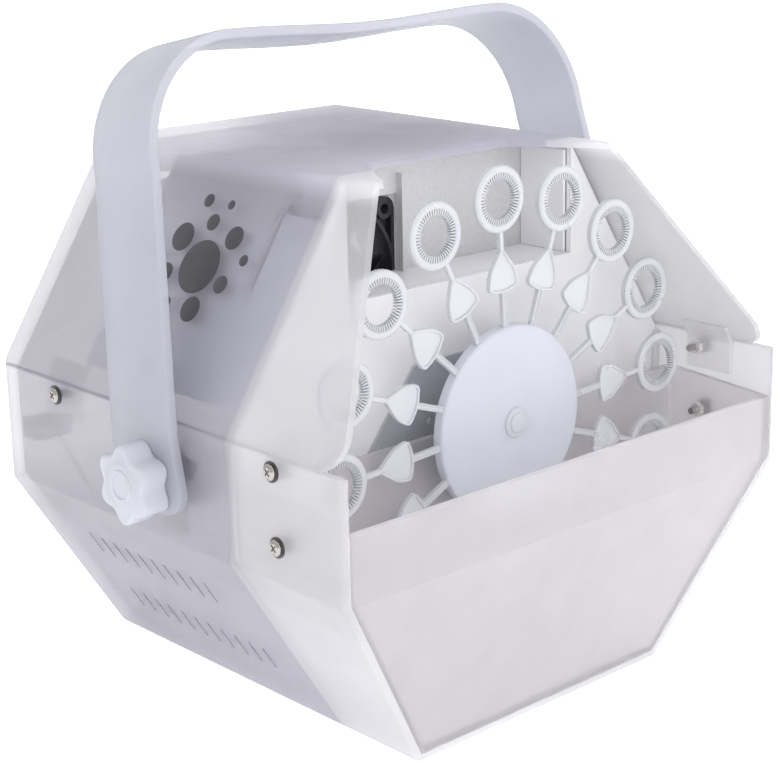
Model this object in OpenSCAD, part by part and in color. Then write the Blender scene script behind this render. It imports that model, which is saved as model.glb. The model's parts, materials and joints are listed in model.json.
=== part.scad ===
// Bubble machine: an eight-sided frosted housing with a fluid tank behind its front wall,
// a wheel of bubble wands, a fan that blows through the wands at the top of the wheel,
// and a bail handle clamped by two star knobs.
// Millimetres. X to the right seen from the front, the front faces -Y, Z up.
// The origin is at the middle of the underside.

/* [Body] */
// Width across the vertical side bands
body_w = 250; // [240:1:260]
// Depth from the front band to the back edge
body_d = 222; // [216:1:230]
// Height of the roof
body_h = 227; // [225:0.5:229]
// Width of the flat underside
base_w = 143; // [136:1:150]
// Width of the flat roof
roof_w = 132; // [128:1:134]
// Height of the lower edge of the side bands
band_bottom = 86; // [82:1:90]
// Height of the upper edge of the side bands
band_top = 135; // [133:0.5:137]
// How far the front edge of the underside stands back from the front band
base_set = 21.5; // [16:0.5:26]
// How far the front edge of the roof stands back from the front band
roof_set = 46; // [44:0.5:48]
// Thickness of the lower shell
wall = 3; // [2.6:0.1:3.2]
// Thickness of the upper cover
cover_t = 2.6; // [2.2:0.1:2.8]
// Radius of the outer edges
edge_r = 3; // [2:0.5:3]

/* [Roof notch] */
// Half width of the notch at its back
notch_back_x = 40; // [36:1:42]
// Half width of the notch at the front edge of the roof
notch_front_x = 62; // [60:0.5:62]
// Y of the back edge of the notch
notch_y = -31; // [-34:1:-28]

/* [Tank] */
// Height of the front wall of the tank
tank_front_h = 113.7; // [110:0.1:115]
// Height of the sides of the tank at the back
tank_back_h = 118; // [116:0.1:118.4]
// Y of the back face of the tank
tank_back_y = -54.6; // [-56:0.2:-53]
// Thickness of the tank walls
tank_t = 2.6; // [2:0.1:3]

/* [Bubble wheel] */
// Number of wands
wands = 16; // [12:1:16]
// Radius from the shaft to the middle of each ring
ring_path_r = 92.5; // [90:0.5:93]
// Outer radius of a ring
ring_r = 13.5; // [13:0.1:14.2]
// Radius of the hole in a ring
ring_hole_r = 7.8; // [7.4:0.1:9.5]
// Radius of the hub disc
hub_r = 40; // [36:0.5:42]
// Y of the middle of the wands
wheel_y = -70.7; // [-71.5:0.1:-70]
// Height of the wheel shaft
shaft_z = 121; // [120.5:0.1:121.5]

/* [Handle] */
// Distance from the pivot to the top of the handle
handle_reach = 166.2; // [165.8:0.1:170]
// Thickness of the strap
strap_t = 4.2; // [3.8:0.1:4.6]
// Width of the strap
strap_w = 40; // [38:1:44]
// Angle that the handle leans back from upright
handle_tilt = 12; // [0:0.5:15]
// Y of the handle pivot
pivot_y = -5.5; // [-6.5:0.5:-4.5]
// Height of the handle pivot
pivot_z = 113; // [112:0.5:115.5]

/* [Knob] */
// Number of lobes
knob_lobes = 6; // [5:1:8]
// Overall radius of a knob
knob_r = 16.2; // [15:0.1:18]
// Thickness of a knob
knob_t = 12; // [9:0.1:12]

/* [Drive] */
// Gear module
gear_m = 0.5; // [0.5:0.1:0.5]
// Teeth of each small gear
pinion_teeth = 10; // [10:1:10]
// Teeth of each large gear
wheel_teeth = 40; // [40:1:40]
// Radius of the gear case and of the motor
motor_r = 29.5; // [28:0.5:30]

/* [Fan] */
// Side of the square fan frame
fan_size = 60; // [58:0.5:60]
// Depth of the fan frame
fan_depth = 20; // [15:1:25]
// Number of fan blades
fan_blades = 7; // [5:1:9]

/* [Hidden] */
$fn = 48;

half_w = body_w / 2;
front_y = -body_d / 2;
back_y = body_d / 2;
lower_run = half_w - base_w / 2;
lower_len = norm([lower_run, band_bottom]);
upper_run = half_w - roof_w / 2;
upper_rise = body_h - band_top;
upper_len = norm([upper_run, upper_rise]);
base_front_y = front_y + base_set;
roof_front_y = front_y + roof_set;
gap = 0.4;                       // assembly gap between mouldings
lined = wall + gap;              // inset of what sits against the shell

// screw and pivot places on the bands, as [y, z]
cover_screw_front = [-72, 129.6];
tank_screw = [-74, 100.8];
cover_screw_back = [70, 129.6];
screw_places = [cover_screw_front, tank_screw, cover_screw_back];
panel_screw_places = [[109, 108], [62, 12]];   // on the rear panel, as [x, z]
screw_r = 1.5;
washer_t = 0.5;
head_t = 1.6;

partition_y = -45.8;
partition_t = 2.5;
shelf_z = 177.5;
window_x = 63;
duct_back_y = -18;
steel_t = 1.2;
panel_front_y = 103;
panel_t = 2.5;

motor_z = shaft_z - 10;
idler_x = sqrt(pow(gear_m * (pinion_teeth + wheel_teeth) / 2, 2) - 25);
idler_z = (shaft_z + motor_z) / 2;
ear_x = 35;
gear_face = 4;
flange_y = partition_y + partition_t + 0.1;
flange_t = 1.5;
front_gear_y = -39;              // front faces of the two gear layers
rear_gear_y = -33.5;
gear_back_y = -26;
motor_back_y = -5;
shaft_r = 3.5;
idler_pin_r = 1;
shaft_front_y = -73.2;
stud_r = 3;
running = 0.05;                  // running clearance on the radius

fan_x = -42.5;
fan_z = 179;
fan_y = duct_back_y + steel_t + 0.1;
fan_bore_r = 28.4;
fan_hole = 25;                   // screw holes are this far from the fan's axis in X and in Z

// ---------------------------------------------------------------- helpers

// Extrudes a profile drawn in X and Z along Y, from y0 to y1.
module along_y(y0, y1) {
    translate([0, y1, 0]) rotate([90, 0, 0]) linear_extrude(y1 - y0) children();
}

// Extrudes a profile drawn in Y and Z along X, from x0 to x1.
module along_x(x0, x1) {
    translate([x0, 0, 0]) rotate([90, 0, 90]) linear_extrude(x1 - x0) children();
}

// Extrudes a profile drawn in X and Y along Z, from z0 to z1.
module along_z(z0, z1) {
    translate([0, 0, z0]) linear_extrude(z1 - z0) children();
}

module y_rod(x, z, y0, y1, r) {
    translate([x, y1, z]) rotate([90, 0, 0]) cylinder(h = y1 - y0, r = r);
}

module x_rod(y, z, x0, x1, r) {
    translate([x0, y, z]) rotate([0, 90, 0]) cylinder(h = x1 - x0, r = r);
}

module both_sides() {
    children();
    mirror([1, 0, 0]) children();
}

module block(low, high) {
    translate(low) cube(high - low);
}

function unit(v) = v / norm(v);
function turn(a) = a > 180 ? a - 360 : a < -180 ? a + 360 : a;

// Arc of radius r that rounds the corner p between its neighbours a and b.
function round_corner(a, p, b, r, steps) =
    let (u = unit(a - p), v = unit(b - p),
        half = acos(u * v) / 2,
        centre = p + unit(u + v) * r / sin(half),
        first = p + u * r / tan(half) - centre,
        last = p + v * r / tan(half) - centre,
        start = atan2(first[1], first[0]),
        sweep = turn(atan2(last[1], last[0]) - start))
    [for (k = [0:steps]) centre + r * [cos(start + sweep * k / steps), sin(start + sweep * k / steps)]];

// Rounds each corner of a polygon; radii holds one radius per corner, 0 for a sharp one.
function rounded(points, radii, steps = 6) =
    let (n = len(points))
    [for (i = [0:n - 1])
        for (q = radii[i] > 0
            ? round_corner(points[(i + n - 1) % n], points[i], points[(i + 1) % n], radii[i], steps)
            : [points[i]]) q];

function same(value, count) = [for (i = [1:count]) value];

// Half width of the lower and upper slopes at height z, moved inward by inset.
function low_x(z, inset) = base_w / 2 + (lower_run * z - inset * lower_len) / band_bottom;
function up_x(z, inset) = half_w - (upper_run * (z - band_top) + inset * upper_len) / upper_rise;
function low_z(inset) = (band_bottom * (lower_run - inset) + inset * lower_len) / lower_run;
function up_z(inset) = band_top - inset * (upper_len - upper_rise) / upper_run;

// The eight-sided front outline, moved inward by inset.
function right_outline(inset) = [
    [low_x(inset, inset), inset],
    [half_w - inset, low_z(inset)],
    [half_w - inset, up_z(inset)],
    [up_x(body_h - inset, inset), body_h - inset]];
function outline(inset) =
    let (right = right_outline(inset))
    concat(right, [for (i = [3:-1:0]) [-right[i][0], right[i][1]]]);

module housing_tube(outer, inner, radius) {
    difference() {
        polygon(rounded(outline(outer), same(radius, 8)));
        polygon(outline(inner));
    }
}

// Plan of the housing with its vertical corners rounded.
module plan() {
    polygon(rounded([[-half_w, front_y], [half_w, front_y], [half_w, back_y], [-half_w, back_y]],
        same(edge_r, 4)));
}

function front_y_at(z) = z < band_bottom
    ? base_front_y - base_set * z / band_bottom
    : z < band_top ? front_y : front_y + roof_set * (z - band_top) / upper_rise;

// A hexagon nut along X between x0 and x1, with a round bore.
module x_nut(y, z, x0, x1, across, bore_r) {
    difference() {
        translate([x0, y, z]) rotate([0, 90, 0]) cylinder(h = x1 - x0, r = across / sqrt(3), $fn = 6);
        x_rod(y, z, x0 - 1, x1 + 1, bore_r);
    }
}

// Spur gear outline with involute flanks: m is the module, n the teeth, play the flank clearance.
pressure = 20;
function involute(base, a) = base * [cos(a) + a * PI / 180 * sin(a), sin(a) - a * PI / 180 * cos(a)];
function spin_point(p, a) = [p[0] * cos(a) - p[1] * sin(a), p[0] * sin(a) + p[1] * cos(a)];
function roll_angle(base, r) = r <= base ? 0 : sqrt(pow(r / base, 2) - 1) * 180 / PI;
function gear_points(m, n, play) =
    let (pitch = m * n / 2, base = pitch * cos(pressure), tip = pitch + 0.85 * m, root = pitch - 1.15 * m,
        at_pitch = involute(base, roll_angle(base, pitch)),
        half_tooth = 90 / n - play / pitch * 180 / PI / 2 + atan2(at_pitch[1], at_pitch[0]),
        last = roll_angle(base, tip),
        flank = concat([[root, 0]], [for (k = [0:4]) if (root < base || k > 0) involute(base, last * k / 4)]))
    [for (t = [0:n - 1]) for (side = [0, 1]) for (k = [0:len(flank) - 1])
        let (p = side == 0 ? flank[k] : flank[len(flank) - 1 - k],
            q = spin_point(p, -half_tooth))
        spin_point(side == 0 ? q : [q[0], -q[1]], t * 360 / n)];

module gear(m, n, play = 0.08) {
    polygon(gear_points(m, n, play));
}

// Sweeps a round wire of radius r along a route.
module wire(route, r, sides = 8) {
    n = len(route);
    function heading(i) = unit(route[min(i + 1, n - 1)] - route[max(i - 1, 0)]);
    function frame_x(i) = unit(cross(heading(i), abs(heading(i)[2]) < 0.9 ? [0, 0, 1] : [1, 0, 0]));
    points = [for (i = [0:n - 1]) for (k = [0:sides - 1])
        let (a = k * 360 / sides, u = frame_x(i), v = cross(heading(i), u))
        route[i] + r * (cos(a) * u + sin(a) * v)];
    sides_faces = [for (i = [0:n - 2]) for (k = [0:sides - 1])
        let (a = i * sides + k, b = i * sides + (k + 1) % sides)
        [a, b, b + sides, a + sides]];
    polyhedron(points, concat([[for (k = [sides - 1:-1:0]) k]], sides_faces,
        [[for (k = [0:sides - 1]) (n - 1) * sides + k]]));
}

// Points of a smooth curve through a route.
function curve_point(a, b, c, d, t) =
    0.5 * ((2 * b) + (c - a) * t + (2 * a - 5 * b + 4 * c - d) * t * t + (3 * b - a - 3 * c + d) * t * t * t);
function smooth(route, steps = 3) =
    let (n = len(route))
    concat([for (i = [0:n - 2]) for (k = [0:steps - 1])
        curve_point(route[max(i - 1, 0)], route[i], route[i + 1], route[min(i + 2, n - 1)], k / steps)],
        [route[n - 1]]);

// ---------------------------------------------------------------- housing

slit_w = 1.6;
slit_len = 5.5;
upper_slits = [for (k = [0:9]) [-8 + 9 * k, 59]];
lower_slits = [for (k = [0:10]) [-20 + 9.3 * k, 28]];

// One vent slit through the right lower slope, long along the fall of the slope.
module slit(y, z) {
    translate([low_x(z, 0), y, z]) rotate([0, 90 - atan2(lower_run, band_bottom), 0])
        rotate([0, -90, 0]) rotate([0, 90, 0]) cube([slit_len, slit_w, 4 * wall], center = true);
}

// Two thin ribs that hold a plate between y0 and y1.
module plate_rails(y0, y1, inset) {
    rail = 2;
    for (y = [y0 - rail - 0.1, y1 + 0.1])
        along_y(y, y + rail) housing_tube(inset - 0.2, inset + 3, 0);
}

module lower_shell() color([0.86, 0.85, 0.9, 0.75]) {
    profile = [[base_front_y, 0], [front_y, band_bottom], [front_y, band_top],
        [back_y, band_top], [back_y, 0]];
    difference() {
        union() {
            intersection() {
                along_y(front_y, back_y) housing_tube(0, wall, edge_r);
                along_x(-half_w, half_w) polygon(profile);
                along_z(-1, band_top) plan();
            }
            intersection() {
                plate_rails(partition_y, partition_y + partition_t, wall);
                block([-half_w, partition_y - 5, 1], [half_w, back_y, band_top - 3]);
            }
            both_sides() for (p = panel_screw_places)
                block([p[0] - 4, panel_front_y - 12, p[1] - 4], [p[0] + 4, panel_front_y, p[1] + 4]);
            both_sides() block([112, panel_front_y - 12, 104], [half_w - wall + 0.5, panel_front_y, 112]);
            both_sides() block([58, panel_front_y - 12, wall - 0.5], [66, panel_front_y, 9]);
        }
        both_sides() for (p = concat(upper_slits, lower_slits)) slit(p[0], p[1]);
        both_sides() for (p = screw_places) x_rod(p[0], p[1], half_w - 2 * wall, half_w + 1, screw_r + 0.1);
        both_sides() x_rod(pivot_y, pivot_z, half_w - 3 * wall, half_w + 1, stud_r + 0.5);
        both_sides() for (p = panel_screw_places)
            y_rod(p[0], p[1], panel_front_y - 9, panel_front_y + 1, 1.2);
    }
}

module fluid_tank() color([0.93, 0.92, 0.93, 0.75]) {
    outer = [[front_y_at(lined), lined], [front_y, band_bottom], [front_y, tank_front_h],
        [tank_back_y, tank_back_h], [tank_back_y, lined]];
    inner = [[front_y_at(lined + tank_t) + wall, lined + tank_t], [front_y + wall, band_bottom],
        [front_y + wall, band_top], [tank_back_y - tank_t, band_top],
        [tank_back_y - tank_t, lined + tank_t]];
    difference() {
        intersection() {
            along_y(front_y, back_y) polygon(outline(lined));
            along_x(-half_w, half_w) polygon(outer);
        }
        intersection() {
            along_y(front_y, back_y) polygon(outline(lined + tank_t));
            along_x(-half_w, half_w) polygon(inner);
        }
        both_sides() x_rod(tank_screw[0], tank_screw[1], half_w - 8, half_w, screw_r + 0.1);
        block([-13, tank_back_y - 5, 107], [13, tank_back_y + 5, band_top]);
        block([-30, tank_back_y - 5, 99], [-24, tank_back_y + 5, 105]);
    }
}

module upper_cover() color([0.84, 0.84, 0.9, 0.75]) {
    profile = rounded([[front_y, band_top], [roof_front_y, body_h], [back_y, body_h], [back_y, band_top]],
        [9, 2, 2.5, 0]);
    notch = [[-notch_back_x, notch_y], [notch_back_x, notch_y], [notch_front_x, roof_front_y - 1],
        [notch_front_x, front_y], [-notch_front_x, front_y], [-notch_front_x, roof_front_y - 1]];
    difference() {
        intersection() {
            along_y(front_y, back_y) housing_tube(0, cover_t, edge_r);
            along_x(-half_w, half_w) polygon(profile);
            along_z(band_top, body_h + 1) plan();
        }
        along_z(body_h - 6, body_h + 1) polygon(notch);
    }
}

tab_low = 119.6;
tab_high = 141.5;
tab_t = 2.2;
tab_w = 24;

module cover_tabs() color([0.9, 0.9, 0.94, 0.8]) {
    tab_x = half_w - lined;
    inset = cover_t + 0.2;
    profile = [[tab_x, tab_low], [tab_x, up_z(lined)], [up_x(tab_high, inset), tab_high],
        [up_x(tab_high, inset) - tab_t, tab_high], [tab_x - tab_t, up_z(lined) - 0.8],
        [tab_x - tab_t, tab_low]];
    both_sides() difference() {
        for (y = [cover_screw_front[0] - 18, cover_screw_back[0] - tab_w / 2])
            along_y(y, y + tab_w) polygon(profile);
        for (p = [cover_screw_front, cover_screw_back])
            x_rod(p[0], p[1], tab_x - 2 * tab_t, half_w, screw_r + 0.1);
    }
}

switch_x = 62;
switch_z = 55;
inlet_x = 30;
inlet_z = 55;
panel_back_y = panel_front_y + panel_t;

module rear_panel() color([0.84, 0.84, 0.88, 0.8]) {
    difference() {
        along_y(panel_front_y, panel_back_y) polygon(outline(lined));
        // air inlet: rows of slots that fit in a circle
        for (row = [-5:5])
            let (z = 172 + 7 * row, reach = sqrt(max(0, 1600 - pow(7 * row, 2))))
            block([-28 - reach, panel_front_y - 1, z - 1.6], [-28 + reach, panel_back_y + 1, z + 1.6]);
        block([switch_x - 9.7, panel_front_y - 1, switch_z - 6.6],
            [switch_x + 9.7, panel_back_y + 1, switch_z + 6.6]);
        y_rod(inlet_x, inlet_z, panel_front_y - 1, panel_back_y + 1, 5.6);
        both_sides() for (p = panel_screw_places)
            y_rod(p[0], p[1], panel_front_y - 1, panel_back_y + 1, 1.7);
    }
}

module rear_panel_screws() color("silver") {
    both_sides() for (p = panel_screw_places) difference() {
        union() {
            y_rod(p[0], p[1], panel_front_y - 8, panel_back_y + 0.5, 1.2);
            y_rod(p[0], p[1], panel_back_y, panel_back_y + 1.8, 2.9);
        }
        for (a = [0, 90]) translate([p[0], panel_back_y + 1.8, p[1]]) rotate([0, a, 0])
            cube([3.6, 1.6, 0.8], center = true);
    }
}

module partition() color([0.93, 0.92, 0.94, 0.8]) {
    difference() {
        intersection() {
            along_y(partition_y, partition_y + partition_t) polygon(outline(lined + 0.2));
            block([-half_w, -60, 0], [half_w, 0, body_h - cover_t - 1]);
        }
        block([-window_x, -60, shelf_z], [window_x, 0, body_h]);
        y_rod(0, shaft_z, -60, 0, 7);
        both_sides() y_rod(ear_x, motor_z, -60, 0, 2.2);
        block([66, -60, 9], [74, 0, 15]);
    }
}

// Shelf and side walls that guide the air to the wands.
module air_duct() color([0.9, 0.9, 0.93, 0.8]) {
    t = 2;
    front = partition_y + partition_t + 0.1;
    back = duct_back_y - 0.1;
    top = body_h - cover_t - 2.6;
    block([-90, front, shelf_z - t], [90, back, shelf_z]);
    both_sides() block([window_x - t, front, shelf_z - 0.5], [window_x, back, top]);
}

housing_inset = 4.6;
housing_low = 142.5;
housing_back = 62;
plate_x = 64;
flange_depth = 3.5;

// Sheet steel box over the fan: two slopes, a roof and a front plate open beside the fan.
module inner_housing() color([0.72, 0.73, 0.76]) {
    top = body_h - housing_inset;
    wing_front = partition_y + partition_t + 0.6;
    fan_side = fan_x + fan_size / 2;
    difference() {
        union() {
            intersection() {
                along_y(duct_back_y, housing_back) housing_tube(housing_inset, housing_inset + steel_t, 0);
                block([-half_w, -60, housing_low], [half_w, back_y, body_h]);
            }
            intersection() {
                along_y(wing_front, duct_back_y + 1) housing_tube(housing_inset, housing_inset + steel_t, 0);
                both_sides() block([window_x + 4, -60, housing_low], [half_w, back_y, shelf_z + 32]);
            }
            along_y(duct_back_y, duct_back_y + steel_t)
                polygon([[-76, 146], [plate_x, 146], [plate_x, top - 0.5], [-66, top - 0.5], [-66, 208],
                    [-76, 192]]);
            block([fan_side + 0.4, duct_back_y - flange_depth, shelf_z + 0.2],
                [fan_side + 0.4 + steel_t, duct_back_y + 1, top - 4]);
        }
        y_rod(fan_x, fan_z, duct_back_y - 1, duct_back_y + 3, fan_bore_r);
        block([-90, duct_back_y - 1, shelf_z + 0.2], [fan_side + 0.3, duct_back_y + steel_t + 1, fan_z + 31]);
        for (x = [-fan_hole, fan_hole])
            y_rod(fan_x + x, fan_z - fan_hole, duct_back_y - 3, duct_back_y + 3, 2);
    }
}

// ---------------------------------------------------------------- fan

fan_corner_r = 5;
fan_hub_r = 14;
strut_t = 2.4;

module fan_square(side, r) {
    h = side / 2;
    polygon(rounded([[-h, -h], [h, -h], [h, h], [-h, h]], same(r, 4)));
}

module fan_frame() color([0.1, 0.1, 0.11]) {
    y1 = fan_y + fan_depth;
    translate([fan_x, 0, fan_z]) {
        difference() {
            along_y(fan_y, y1) fan_square(fan_size, fan_corner_r);
            y_rod(0, 0, fan_y - 1, y1 + 1, fan_bore_r);
            // the corners are hollow between the duct, the outer rim and the screw eyes
            along_y(fan_y - 1, fan_y + 3) difference() {
                fan_square(fan_size - 3.4, fan_corner_r - 1.7);
                circle(r = fan_bore_r + 1.4);
                for (x = [-fan_hole, fan_hole]) for (z = [-fan_hole, fan_hole])
                    translate([x, z]) circle(r = 4.2);
            }
            // waist between the two flanges
            along_y(fan_y + 5, y1 - 4) difference() {
                square(fan_size + 2, center = true);
                circle(r = fan_bore_r + 1.4);
            }
            for (x = [-fan_hole, fan_hole]) for (z = [-fan_hole, fan_hole])
                y_rod(x, z, fan_y - 1, y1 + 1, 2.15);
        }
        difference() {
            union() {
                y_rod(0, 0, y1 - strut_t, y1, fan_hub_r);
                y_rod(0, 0, y1 - 10, y1 - strut_t + 0.1, 3.4);
                for (a = [30, 150, 270]) rotate([0, a, 0])
                    block([fan_hub_r - 1, y1 - strut_t, -2], [fan_bore_r + 0.6, y1, 2]);
            }
            y_rod(0, 0, fan_y - 1, y1 - 1, 1.5 + running);
        }
    }
}

module fan_rotor() color([0.13, 0.13, 0.14]) {
    y1 = fan_y + fan_depth - strut_t - 0.8;
    blade = 13;
    translate([fan_x, 0, fan_z]) {
        difference() {
            y_rod(0, 0, fan_y + 1, y1, fan_hub_r);
            y_rod(0, 0, fan_y + 3, y1 + 1, fan_hub_r - 1.4);
        }
        y_rod(0, 0, fan_y + 2.5, y1 + 1, 1.5);
        for (k = [0:fan_blades - 1]) rotate([0, k * 360 / fan_blades, 0])
            translate([fan_hub_r - 0.8, fan_y + 8.5, 0]) rotate([42, 0, 0])
                translate([0, -0.6, -blade / 2]) cube([fan_bore_r - fan_hub_r - 0.8, 1.2, blade]);
    }
}

module fan_screws() color("silver") {
    for (x = [-fan_hole, fan_hole]) {
        y_rod(fan_x + x, fan_z - fan_hole, duct_back_y - 0.1, fan_y + fan_depth + 3, 1.8);
        y_rod(fan_x + x, fan_z - fan_hole, duct_back_y - 2, duct_back_y, 3.3);
        translate([fan_x + x, fan_y + fan_depth + 2.6, fan_z - fan_hole]) rotate([90, 0, 0])
            cylinder(h = 2.5, r = 3.2, $fn = 6);
    }
}

// ---------------------------------------------------------------- bubble wheel

wand_t = 3.4;
arm_w = 2.6;
boss_r = 6.4;

// Rounded shield between the arm's two stretches, its point outward.
function paddle_outline() = rounded([[56, -8.6], [63.5, -7], [72.8, 0], [63.5, 7], [56, 8.6], [53.8, 0]],
    [2.4, 12, 1.6, 12, 2.4, 14], 5);

// One wand drawn along +X in the wheel's own plane.
module wand_outline() {
    translate([hub_r - 2, -arm_w / 2]) square([ring_path_r - ring_r - hub_r + 3, arm_w]);
    difference() {
        translate([ring_path_r, 0]) circle(r = ring_r);
        translate([ring_path_r, 0]) circle(r = ring_hole_r);
    }
}

module bubble_wheel() color([0.95, 0.95, 0.98, 0.85]) {
    translate([0, wheel_y, shaft_z]) rotate([90, 0, 0]) {
        for (k = [0:wands - 1]) rotate(3.85 + k * 360 / wands) {
            translate([0, 0, -wand_t / 2]) linear_extrude(wand_t) wand_outline();
            translate([0, 0, -wand_t / 2 + 0.5]) linear_extrude(wand_t - 1) polygon(paddle_outline());
        }
        // shallow cup: domed disc, turned-back rim and the boss for the shaft
        difference() {
            rotate_extrude($fn = 96) polygon([[0, 3.6], [18, 3.3], [30, 2.7], [hub_r - 1, 1.8], [hub_r, 0.8],
                [hub_r, -3], [hub_r - 2, -3], [hub_r - 2, 0.4], [30, 1.1], [18, 1.6], [7.5, 1.8],
                [7.5, -2.6], [0, -2.6]]);
            translate([0, 0, -3]) cylinder(h = 5.5, r = shaft_r);
        }
        translate([0, 0, 3.4]) cylinder(h = 1.3, r = boss_r);
        translate([0, 0, 4.5]) cylinder(h = 1.2, r = boss_r - 2);
    }
}

module drive_collar() color([0.8, 0.66, 0.35]) {
    difference() {
        y_rod(0, shaft_z, wheel_y + 2.7, wheel_y + 9.5, 6);
        y_rod(0, shaft_z, wheel_y, wheel_y + 12, shaft_r);
        translate([0, wheel_y + 6, shaft_z]) cylinder(h = 10, r = 1.25);
    }
}

module collar_screw() color([0.2, 0.2, 0.22]) {
    translate([0, wheel_y + 6, shaft_z + shaft_r]) cylinder(h = 3, r = 1.25);
}

// ---------------------------------------------------------------- gear motor

module output_shaft() color("silver") {
    y_rod(0, shaft_z, shaft_front_y, front_gear_y + gear_face + 0.6, shaft_r);
    y_rod(0, shaft_z, front_gear_y + gear_face + 0.4, gear_back_y - 1.5, 1.2);
}

// The two gear pairs are turned so that a tooth of one faces a gap of the other.
mesh_out = atan2(idler_z - shaft_z, idler_x);
mesh_in = atan2(idler_z - motor_z, idler_x);

module y_gear(x, z, y0, n, turn) {
    translate([x, y0, z]) rotate([90, 0, 0]) mirror([0, 0, 1]) linear_extrude(gear_face)
        rotate(turn) gear(gear_m, n);
}

module output_gear() color([0.9, 0.88, 0.8]) {
    difference() {
        y_gear(0, shaft_z, front_gear_y, wheel_teeth, mesh_out);
        y_rod(0, shaft_z, front_gear_y - 1, front_gear_y + gear_face + 1, shaft_r);
    }
}

module idler_gear() color([0.9, 0.88, 0.8]) {
    difference() {
        union() {
            y_gear(idler_x, idler_z, rear_gear_y, wheel_teeth, mesh_in + 180);
            y_gear(idler_x, idler_z, front_gear_y, pinion_teeth, mesh_out + 180 + 180 / pinion_teeth);
            y_rod(idler_x, idler_z, front_gear_y + gear_face - 0.2, rear_gear_y + 0.2, 1.9);
        }
        y_rod(idler_x, idler_z, front_gear_y - 1, rear_gear_y + gear_face + 1, idler_pin_r + running);
    }
}

module idler_pin() color("silver") {
    y_rod(idler_x, idler_z, flange_y, gear_back_y + 1.2, idler_pin_r);
}

module motor_rotor() color([0.3, 0.3, 0.33]) {
    y_gear(0, motor_z, rear_gear_y, pinion_teeth, mesh_in + 180 / pinion_teeth);
    y_rod(0, motor_z, rear_gear_y + gear_face - 0.1, motor_back_y - 1.8, 1);
    y_rod(0, motor_z, gear_back_y + 4, motor_back_y - 4, 11);
}

module gear_case() color([0.42, 0.43, 0.47]) {
    difference() {
        y_rod(0, motor_z, flange_y + flange_t, gear_back_y + 1.2, motor_r);
        y_rod(0, motor_z, flange_y, gear_back_y, motor_r - 1.2);
        y_rod(0, motor_z, -50, 0, 1.6);
        y_rod(idler_x, idler_z, -50, 0, idler_pin_r);
    }
    // seat for the back end of the output shaft
    difference() {
        y_rod(0, shaft_z, gear_back_y - 4, gear_back_y + 0.2, 2);
        y_rod(0, shaft_z, gear_back_y - 5, gear_back_y - 1, 1.2 + running);
    }
}

bush_front_y = partition_y - 4;

module gear_flange() color([0.42, 0.43, 0.47]) {
    difference() {
        along_y(flange_y, flange_y + flange_t) {
            translate([0, motor_z]) circle(r = motor_r + 2.5);
            both_sides() translate([0, motor_z])
                polygon(rounded([[12, 29], [45, 5.5], [45, -5.5], [12, -29]], [0, 5, 5, 0], 5));
        }
        y_rod(0, shaft_z, -60, 0, 5);
        y_rod(idler_x, idler_z, -60, 0, idler_pin_r);
        both_sides() y_rod(ear_x, motor_z, -60, 0, 2.2);
    }
    // bearing bush of the output shaft
    difference() {
        y_rod(0, shaft_z, bush_front_y, front_gear_y - 0.6, 6);
        y_rod(0, shaft_z, -60, 0, shaft_r + running);
    }
}

module motor_can() color([0.5, 0.51, 0.55]) {
    difference() {
        y_rod(0, motor_z, gear_back_y + 1.3, motor_back_y, motor_r - 0.5);
        y_rod(0, motor_z, gear_back_y, motor_back_y - 1.2, 20);
    }
    // stator ring and the rear bearing of the rotor
    difference() {
        y_rod(0, motor_z, gear_back_y + 3, motor_back_y - 1, 20.1);
        y_rod(0, motor_z, -50, motor_back_y - 1.1, 11.6);
    }
    difference() {
        y_rod(0, motor_z, motor_back_y - 3.4, motor_back_y - 1, 3.4);
        y_rod(0, motor_z, -50, motor_back_y - 1.5, 1 + running);
    }
}

bracket_t = 1.5;
bracket_face_y = partition_y - bracket_t;

module motor_bracket() color([0.45, 0.46, 0.5]) {
    difference() {
        along_y(bracket_face_y, partition_y)
            polygon(rounded([[-56, 106], [56, 106], [56, 114], [30, 146], [-30, 146], [-56, 114]],
                same(3, 6), 4));
        y_rod(0, shaft_z, -60, 0, 7);
        both_sides() {
            y_rod(ear_x, motor_z, -60, 0, 2.2);
            y_rod(22.6, shaft_z, -60, 0, 2);
        }
    }
}

module bracket_screws() color([0.6, 0.6, 0.62]) {
    both_sides() {
        y_rod(ear_x, motor_z, bracket_face_y - 0.1, flange_y + flange_t + 3.5, 2);
        y_rod(ear_x, motor_z, bracket_face_y - 2.2, bracket_face_y, 3.6);
        translate([ear_x, flange_y + flange_t + 2.7, motor_z]) rotate([90, 0, 0])
            cylinder(h = 2.6, r = 3.9, $fn = 6);
    }
}

// ---------------------------------------------------------------- handle and knobs

pad_x = half_w + 4.5;            // inner face of the arms at the pivot
pad_reach = 17;
lean = 0.133;                    // how fast the arms close in above the pivot pads
bend_reach = 117;
bend_x = pad_x - lean * (bend_reach - pad_reach);
bend_w = 42;
grip_sag = 2.5;
end_reach = 14;                  // how far the arms go on below the pivot

// Inner edge of the right half of the handle, grown outward by t, as [x, distance from the pivot].
function arm_curve(t) =
    let (a = bend_w + t, b = handle_reach - strap_t - bend_reach + t, top_x = bend_x + t - a)
    concat([[pad_x + t, -end_reach], [pad_x + t, pad_reach]],
        [for (k = [0:16]) let (angle = 90 * k / 16)
            [bend_x + t - a * (1 - cos(angle)), bend_reach + b * sin(angle)]],
        [for (k = [1:5]) [top_x * (1 - k / 6), bend_reach + b - grip_sag * (1 - cos(30 * k)) / 2]]);

// Both halves of such an edge, from the right pivot over the top to the left one.
function bail_curve(t) =
    let (right = arm_curve(t), n = len(right))
    concat(right, [[0, handle_reach - strap_t + t - grip_sag]],
        [for (k = [n - 1:-1:0]) [-right[k][0], right[k][1]]]);

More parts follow.
